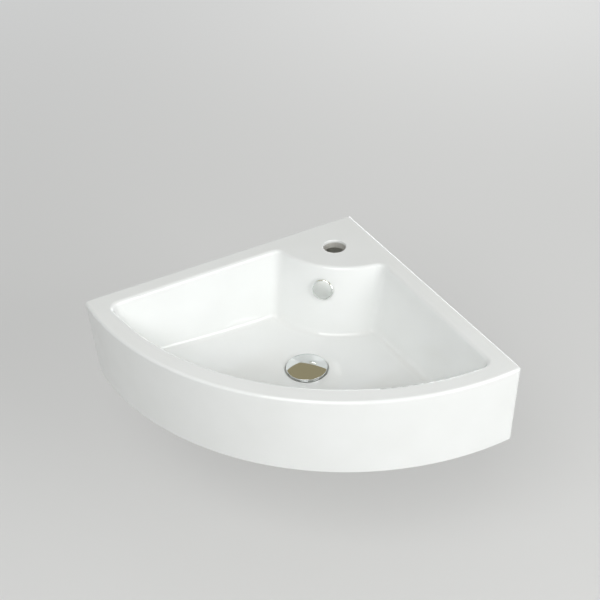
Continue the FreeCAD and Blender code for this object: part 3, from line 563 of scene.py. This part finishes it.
waste = turned("waste_body_turned", [
    (18.5, TAIL_BOTTOM_MM, 0.3), (19.95, TAIL_BOTTOM_MM), (TAIL_RADIUS_MM, TAIL_BOTTOM_MM + 1),
    (TAIL_RADIUS_MM, -30.5), (19.9, -30.5, 0.3), (19.9, -28, 0.3), (TAIL_RADIUS_MM, -28),
    (TAIL_RADIUS_MM, 13), (22.6, 13, 0.3), (22.6, 19), (30, 19, 0.4), (30, FLANGE_TOP_MM, 1.0),
    (27, FLANGE_TOP_MM, 0.8), (18.5, 18.5, 0.8),
], chrome, threads=[
    (TAIL_BOTTOM_MM, -30.5, TAIL_THREAD_MM, 1.0, 0.15), (-28, 13, TAIL_THREAD_MM, 1.0, 0.15),
], core=19)
joined(waste, block(SLOT_SIDES_MM, *SLOT_MM, chrome), "DIFFERENCE")
for quarter in range(4):
    spoke = block(SPOKE_SIDES_MM, *SPOKE_MM, chrome)
    spoke.data.transform(
        Matrix.Rotation(math.radians(90 * quarter), 4, "Z") @ Matrix.Translation((SPOKE_OUT_MM * MM, 0, 0)))
    joined(waste, spoke)
joined(waste, turned("hub", [
    (HUB_BORE_MM, HUB_MM[0], 0.3), (HUB_RADIUS_MM, HUB_MM[0], 0.4),
    (HUB_RADIUS_MM, HUB_MM[1], 0.4), (HUB_BORE_MM, HUB_MM[1], 0.3),
], chrome))
waste.matrix_world = ON_WASTE
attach(waste, "basin")
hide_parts("waste_body")

# Turned brass: warm and bright, with the fine rings that the lathe tool leaves and a little tarnish. The
# wave repeats every 0.31 of its size, which gives rings 0.35 mm apart, coarser than real ones.
TARNISH_MM = 11
RING_WAVE_MM = 1.1
RING_DEPTH_MM = 0.05
brass, tree, shader = fresh_material("turned_brass")
shader.inputs["Metallic"].default_value = 1.0
place = add(tree, "ShaderNodeTexCoord")
tarnish = add(tree, "ShaderNodeTexNoise", {
    "Vector": place.outputs["Object"], "Scale": 1 / (TARNISH_MM * MM), "Detail": 4.0,
})
warm = add(tree, "ShaderNodeMixRGB", {
    "Fac": tarnish.outputs["Fac"], "Color1": linear("D0AE6A"), "Color2": linear("B08A48"),
})
tree.links.new(warm.outputs["Color"], shader.inputs["Base Color"])
rings = add(tree, "ShaderNodeTexWave", {
    "Vector": place.outputs["Object"], "Scale": 1 / (RING_WAVE_MM * MM), "Distortion": 0.4, "Detail": 1.0,
}, bands_direction="Z")
tool_marks = add(tree, "ShaderNodeBump", {
    "Strength": 0.25, "Distance": RING_DEPTH_MM * MM, "Height": rings.outputs["Fac"],
})
tree.links.new(tool_marks.outputs["Normal"], shader.inputs["Normal"])
dull = add(tree, "ShaderNodeMapRange", {
    "Value": tarnish.outputs["Fac"], "From Min": 0.3, "From Max": 0.7, "To Min": 0.2, "To Max": 0.36,
})
tree.links.new(dull.outputs["Result"], shader.inputs["Roughness"])
for name in ("back_nut", "cartridge_nut", "plug_stem"):
    dress(name, brass)

# Moulded rubber: near black, matt, with the dusty bloom and fine grain of a mould. The grain is drawn
# coarser than it is, so that it shows.
BLOOM_MM = 7
RUBBER_GRAIN_MM = 0.7
RUBBER_GRAIN_DEPTH_MM = 0.08
rubber, tree, shader = fresh_material("moulded_rubber")
place = add(tree, "ShaderNodeTexCoord")
bloom = add(tree, "ShaderNodeTexNoise", {
    "Vector": place.outputs["Object"], "Scale": 1 / (BLOOM_MM * MM), "Detail": 5.0,
})
dusty = add(tree, "ShaderNodeMixRGB", {
    "Fac": bloom.outputs["Fac"], "Color1": linear("1C1C1D"), "Color2": linear("313132"),
})
tree.links.new(dusty.outputs["Color"], shader.inputs["Base Color"])
grain = add(tree, "ShaderNodeTexNoise", {
    "Vector": place.outputs["Object"], "Scale": 1 / (RUBBER_GRAIN_MM * MM), "Detail": 2.0,
})
skin = add(tree, "ShaderNodeBump", {
    "Strength": 0.3, "Distance": RUBBER_GRAIN_DEPTH_MM * MM, "Height": grain.outputs["Fac"],
})
tree.links.new(skin.outputs["Normal"], shader.inputs["Normal"])
shader.inputs["Roughness"].default_value = 0.62
for name in ("under_seal", "plug_seal"):
    dress(name, rubber)

# Closed-cell foam: pale and dry, pricked all over with the cut cells of the sheet it is punched from.
CELL_MM = 0.9
CELL_DEPTH_MM = 0.2
foam, tree, shader = fresh_material("closed_cell_foam")
place = add(tree, "ShaderNodeTexCoord")
cells = add(tree, "ShaderNodeTexVoronoi", {"Vector": place.outputs["Object"], "Scale": 1 / (CELL_MM * MM)})
# Painted shade: each cut cell is darker towards its middle, where the pit is deepest.
pit_shade_tone = add(tree, "ShaderNodeMixRGB", {
    "Fac": cells.outputs["Distance"], "Color1": linear("C4C2BA"), "Color2": linear("DEDDD6"),
})
tree.links.new(pit_shade_tone.outputs["Color"], shader.inputs["Base Color"])
pricks = add(tree, "ShaderNodeBump", {
    "Strength": 0.5, "Distance": CELL_DEPTH_MM * MM, "Height": cells.outputs["Distance"],
})
tree.links.new(pricks.outputs["Normal"], shader.inputs["Normal"])
shader.inputs["Roughness"].default_value = 0.9
dress("flange_seal", foam)

# Moulded nylon: a milky off-white with a soft sheen, faint flow lines and a fine spark-eroded texture,
# which is drawn coarser than it is, so that it shows.
FLOW_MM = 8
SPARK_MM = 0.6
SPARK_DEPTH_MM = 0.05
GLOW_DEPTH_MM = 3
nylon, tree, shader = fresh_material("moulded_nylon")
place = add(tree, "ShaderNodeTexCoord")
flow = add(tree, "ShaderNodeTexNoise", {
    "Vector": place.outputs["Object"], "Scale": 1 / (FLOW_MM * MM), "Detail": 2.0, "Distortion": 1.2,
})
milky = add(tree, "ShaderNodeMixRGB", {
    "Fac": flow.outputs["Fac"], "Color1": linear("E9E8E1"), "Color2": linear("DDDCD3"),
})
tree.links.new(milky.outputs["Color"], shader.inputs["Base Color"])
spark = add(tree, "ShaderNodeTexNoise", {
    "Vector": place.outputs["Object"], "Scale": 1 / (SPARK_MM * MM), "Detail": 2.0,
})
texture = add(tree, "ShaderNodeBump", {
    "Strength": 0.2, "Distance": SPARK_DEPTH_MM * MM, "Height": spark.outputs["Fac"],
})
tree.links.new(texture.outputs["Normal"], shader.inputs["Normal"])
shader.inputs["Roughness"].default_value = 0.42
shader.inputs["Subsurface Weight"].default_value = 0.1
shader.inputs["Subsurface Radius"].default_value = (GLOW_DEPTH_MM * MM,) * 3
for name in ("slip_washer", "bolt_sleeves", "overflow_insert"):
    dress(name, nylon)


# ---- Click cartridge ------------------------------------------------------------------------
# A latch like a pen's, screwed into the hub of the waste. Tube, guide ring, plunger and ratchet ring are
# moulded in acetal, and the spring between them is wound from steel wire.

# Moulded acetal: a chalkier, harder white than the nylon, smooth and slightly waxy.
MOTTLE_MM = 5
MOTTLE_DEPTH_MM = 0.05
acetal, tree, shader = fresh_material("moulded_acetal")
place = add(tree, "ShaderNodeTexCoord")
mottle = add(tree, "ShaderNodeTexNoise", {
    "Vector": place.outputs["Object"], "Scale": 1 / (MOTTLE_MM * MM), "Detail": 2.0,
})
chalky = add(tree, "ShaderNodeMixRGB", {
    "Fac": mottle.outputs["Fac"], "Color1": linear("F0F0EC"), "Color2": linear("E6E6E0"),
})
tree.links.new(chalky.outputs["Color"], shader.inputs["Base Color"])
lay = add(tree, "ShaderNodeBump", {
    "Strength": 0.15, "Distance": MOTTLE_DEPTH_MM * MM, "Height": mottle.outputs["Fac"],
})
tree.links.new(lay.outputs["Normal"], shader.inputs["Normal"])
shader.inputs["Roughness"].default_value = 0.3
for name in ("cartridge_housing", "cartridge_cap", "plunger", "latch_rotor"):
    dress(name, acetal)

# Drawn spring steel: mid grey and half bright, clouded by the die that the wire was pulled through.
DRAWN_MM = 1.5
steel, tree, shader = fresh_material("drawn_spring_steel")
shader.inputs["Metallic"].default_value = 1.0
place = add(tree, "ShaderNodeTexCoord")
drawn = add(tree, "ShaderNodeTexNoise", {
    "Vector": place.outputs["Object"], "Scale": 1 / (DRAWN_MM * MM), "Detail": 4.0,
})
grey = add(tree, "ShaderNodeMixRGB", {
    "Fac": drawn.outputs["Fac"], "Color1": linear("A9ABAE"), "Color2": linear("8C8E91"),
})
tree.links.new(grey.outputs["Color"], shader.inputs["Base Color"])
shader.inputs["Roughness"].default_value = 0.26
dress("stem_clip", steel)

# The spring is wound here again, from its foot to its head as they stand at rest. In the real waste it
# stretches as the plug rises: its foot stays with the basin and its head goes up with the lifter.
SPRING_RADIUS_MM = 5.0
WIRE_MM = 1.0
SPRING_TURNS = 5
STEPS_A_TURN = 40
WIRE_SIDES = 12
wound_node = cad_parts["click_spring"]
heights = [(wound_node.matrix_world @ Vector(corner)).z for corner in wound_node.bound_box]
foot, head = min(heights), max(heights)
shape = bmesh.new()
rings = []
for step in range(SPRING_TURNS * STEPS_A_TURN + 1):
    angle = 2 * math.pi * step / STEPS_A_TURN
    outward = Vector((math.cos(angle), math.sin(angle), 0))
    rise = (head - foot - WIRE_MM * MM) * step / (SPRING_TURNS * STEPS_A_TURN)
    centre = outward * SPRING_RADIUS_MM * MM + Vector((0, 0, foot + WIRE_MM / 2 * MM + rise))
    ring = []
    for side in range(WIRE_SIDES):
        round_wire = 2 * math.pi * side / WIRE_SIDES
        offset = outward * math.cos(round_wire) + Vector((0, 0, math.sin(round_wire)))
        ring.append(shape.verts.new(centre + offset * WIRE_MM / 2 * MM))
    rings.append(ring)
for lower, upper in zip(rings, rings[1:]):
    for side in range(WIRE_SIDES):
        ahead = (side + 1) % WIRE_SIDES
        shape.faces.new((lower[side], lower[ahead], upper[ahead], upper[side]))
shape.faces.new(rings[0])
shape.faces.new(rings[-1])
bmesh.ops.recalc_face_normals(shape, faces=shape.faces)
mesh = bpy.data.meshes.new("click_spring_wound")
shape.to_mesh(mesh)
shape.free()
spring = settled("click_spring_wound", mesh, steel)
spring.matrix_world = ON_WASTE
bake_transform(spring)
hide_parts("click_spring")


# ---- Plug -----------------------------------------------------------------------------------
# A pressed brass dome with a rolled edge, chrome plated. It is screwed on to the stem, and the rubber
# ring under it closes on the dish of the flange.


def crown(radius, edge_height, top_height, count=24):
    """Points of a shallow dome from just inside its edge to its top."""
    up = (top_height ** 2 - radius ** 2 - edge_height ** 2) / (2 * (top_height - edge_height))
    ball = top_height - up
    return [(radius * (1 - step / count), up + math.sqrt(ball ** 2 - (radius * (1 - step / count)) ** 2))
            for step in range(1, count + 1)]


dome = turned("plug_dome_pressed", [
    (0, 27.8), (4, 27.8), (4, 16.3), (8, 16.3, 0.5), (8, 23.8, 0.5), (28, 23.8, 0.5), (28, 22.8, 0.3),
    (30.4, 22.8), (31, 23.4), (31, 25.6, 0.7), *crown(31, 25.6, 32.0),
], chrome, columns=160)
dome.matrix_world = ON_WASTE
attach(dome, "plug")
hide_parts("plug_dome")


# ---- Overflow -------------------------------------------------------------------------------
# A pressed chrome cap on a short stem, pushed into a nylon insert in the overflow hole. Water runs in
# behind the cap's edge.
OVERFLOW_MM = (113.15, -113.15, 98.0)
DECK_SLOPE = 17.0
ON_OVERFLOW = (Matrix.Translation(Vector(OVERFLOW_MM) * MM) @ Matrix.Rotation(math.radians(-45), 4, "Z")
               @ Matrix.Rotation(math.radians(90 - DECK_SLOPE), 4, "Y"))

# Satin chrome: the same plate over a blasted face, so it shows the bowl round it as a soft white glow;
# only the rolled edge is polished.
SATIN_EDGE_MM = (13.6, 14.4)
SATIN_DULLER = 0.30
satin = chrome.copy()
satin.name = "satin_chrome_plate"
tree = satin.node_tree
shader = tree.nodes["Principled BSDF"]
shader.inputs["Base Color"].default_value = linear("F1F4F2")
place = add(tree, "ShaderNodeTexCoord")
flat = add(tree, "ShaderNodeVectorMath", {
    0: place.outputs["Object"], 1: (1.0, 1.0, 0.0),
}, operation="MULTIPLY")
outward = add(tree, "ShaderNodeVectorMath", {0: flat.outputs["Vector"]}, operation="LENGTH")
blasted = add(tree, "ShaderNodeMapRange", {
    "Value": outward.outputs["Value"],
    "From Min": SATIN_EDGE_MM[0] * MM, "From Max": SATIN_EDGE_MM[1] * MM,
    "To Min": SATIN_DULLER, "To Max": 0.0,
})
finish = add(tree, "ShaderNodeMath", {
    0: blasted.outputs["Result"], 1: tree.nodes[wiped.name].outputs["Result"],
}, operation="ADD")
tree.links.new(finish.outputs["Value"], shader.inputs["Roughness"])

cap = turned("overflow_cover_pressed", [
    (0, -8.6), (3, -8.6, 0.5), (3, 4.4, 0.3), (15, 4.4, 0.3), (15, 3.4, 0.3), (16, 3.4, 0.4), (16, 6.0, 1.4),
    *crown(16, 6.0, 7.6, 16),
], satin, columns=128)
cap.matrix_world = ON_OVERFLOW
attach(cap, "basin")
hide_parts("overflow_cover")


# ---- Hanger bolts ---------------------------------------------------------------------------
# Two M10 hanger bolts, one through each back face: a coarse wood thread for its plug, a plain shank and
# an M10 thread for the nut, with a nylon sleeve and a washer between nut and china. Bright zinc plated.
FIXING_REACH_MM = 105.0
FIXING_HEIGHT_MM = 58.0
WOOD_THREAD_MM = 4.0
M10_THREAD_MM = 1.5

# Zinc plate: bluish grey, half bright, clouded, with a trace of straw-yellow passivation.
ZINC_CLOUD_MM = 6
zinc, tree, shader = fresh_material("bright_zinc_plate")
shader.inputs["Metallic"].default_value = 1.0
place = add(tree, "ShaderNodeTexCoord")
cloudy = add(tree, "ShaderNodeTexNoise", {
    "Vector": place.outputs["Object"], "Scale": 1 / (ZINC_CLOUD_MM * MM), "Detail": 4.0,
})
plate = add(tree, "ShaderNodeMixRGB", {
    "Fac": cloudy.outputs["Fac"], "Color1": linear("C3C8CD"), "Color2": linear("B9B7A6"),
})
tree.links.new(plate.outputs["Color"], shader.inputs["Base Color"])
dull = add(tree, "ShaderNodeMapRange", {
    "Value": cloudy.outputs["Fac"], "From Min": 0.3, "From Max": 0.7, "To Min": 0.2, "To Max": 0.4,
})
tree.links.new(dull.outputs["Result"], shader.inputs["Roughness"])
for name in ("bolt_washers", "bolt_nuts"):
    dress(name, zinc)

pointing_in = Matrix.Rotation(math.radians(90), 4, "Y")
left_bolt = Matrix.Translation((0, -FIXING_REACH_MM * MM, FIXING_HEIGHT_MM * MM)) @ pointing_in
right_bolt = (Matrix.Translation((FIXING_REACH_MM * MM, 0, FIXING_HEIGHT_MM * MM))
              @ Matrix.Rotation(math.radians(-90), 4, "Z") @ pointing_in)
bolts = []
for side, stand in (("left", left_bolt), ("right", right_bolt)):
    bolt = turned("wall_bolt_" + side, [
        (0, -44), (5, -35), (5, -3, 0.2), (4.5, -3), (4.5, 4), (5, 4, 0.2), (5, 34), (4, 35), (0, 35),
    ], zinc, threads=[
        (-44, -3, WOOD_THREAD_MM, 1.3, 0.5), (4, 34.6, M10_THREAD_MM, 0.85, 0.15),
    ], columns=48)
    bolt.matrix_world = stand
    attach(bolt, "basin")
    bolts.append(bolt)
for bolt in bolts:
    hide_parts("wall_bolts")
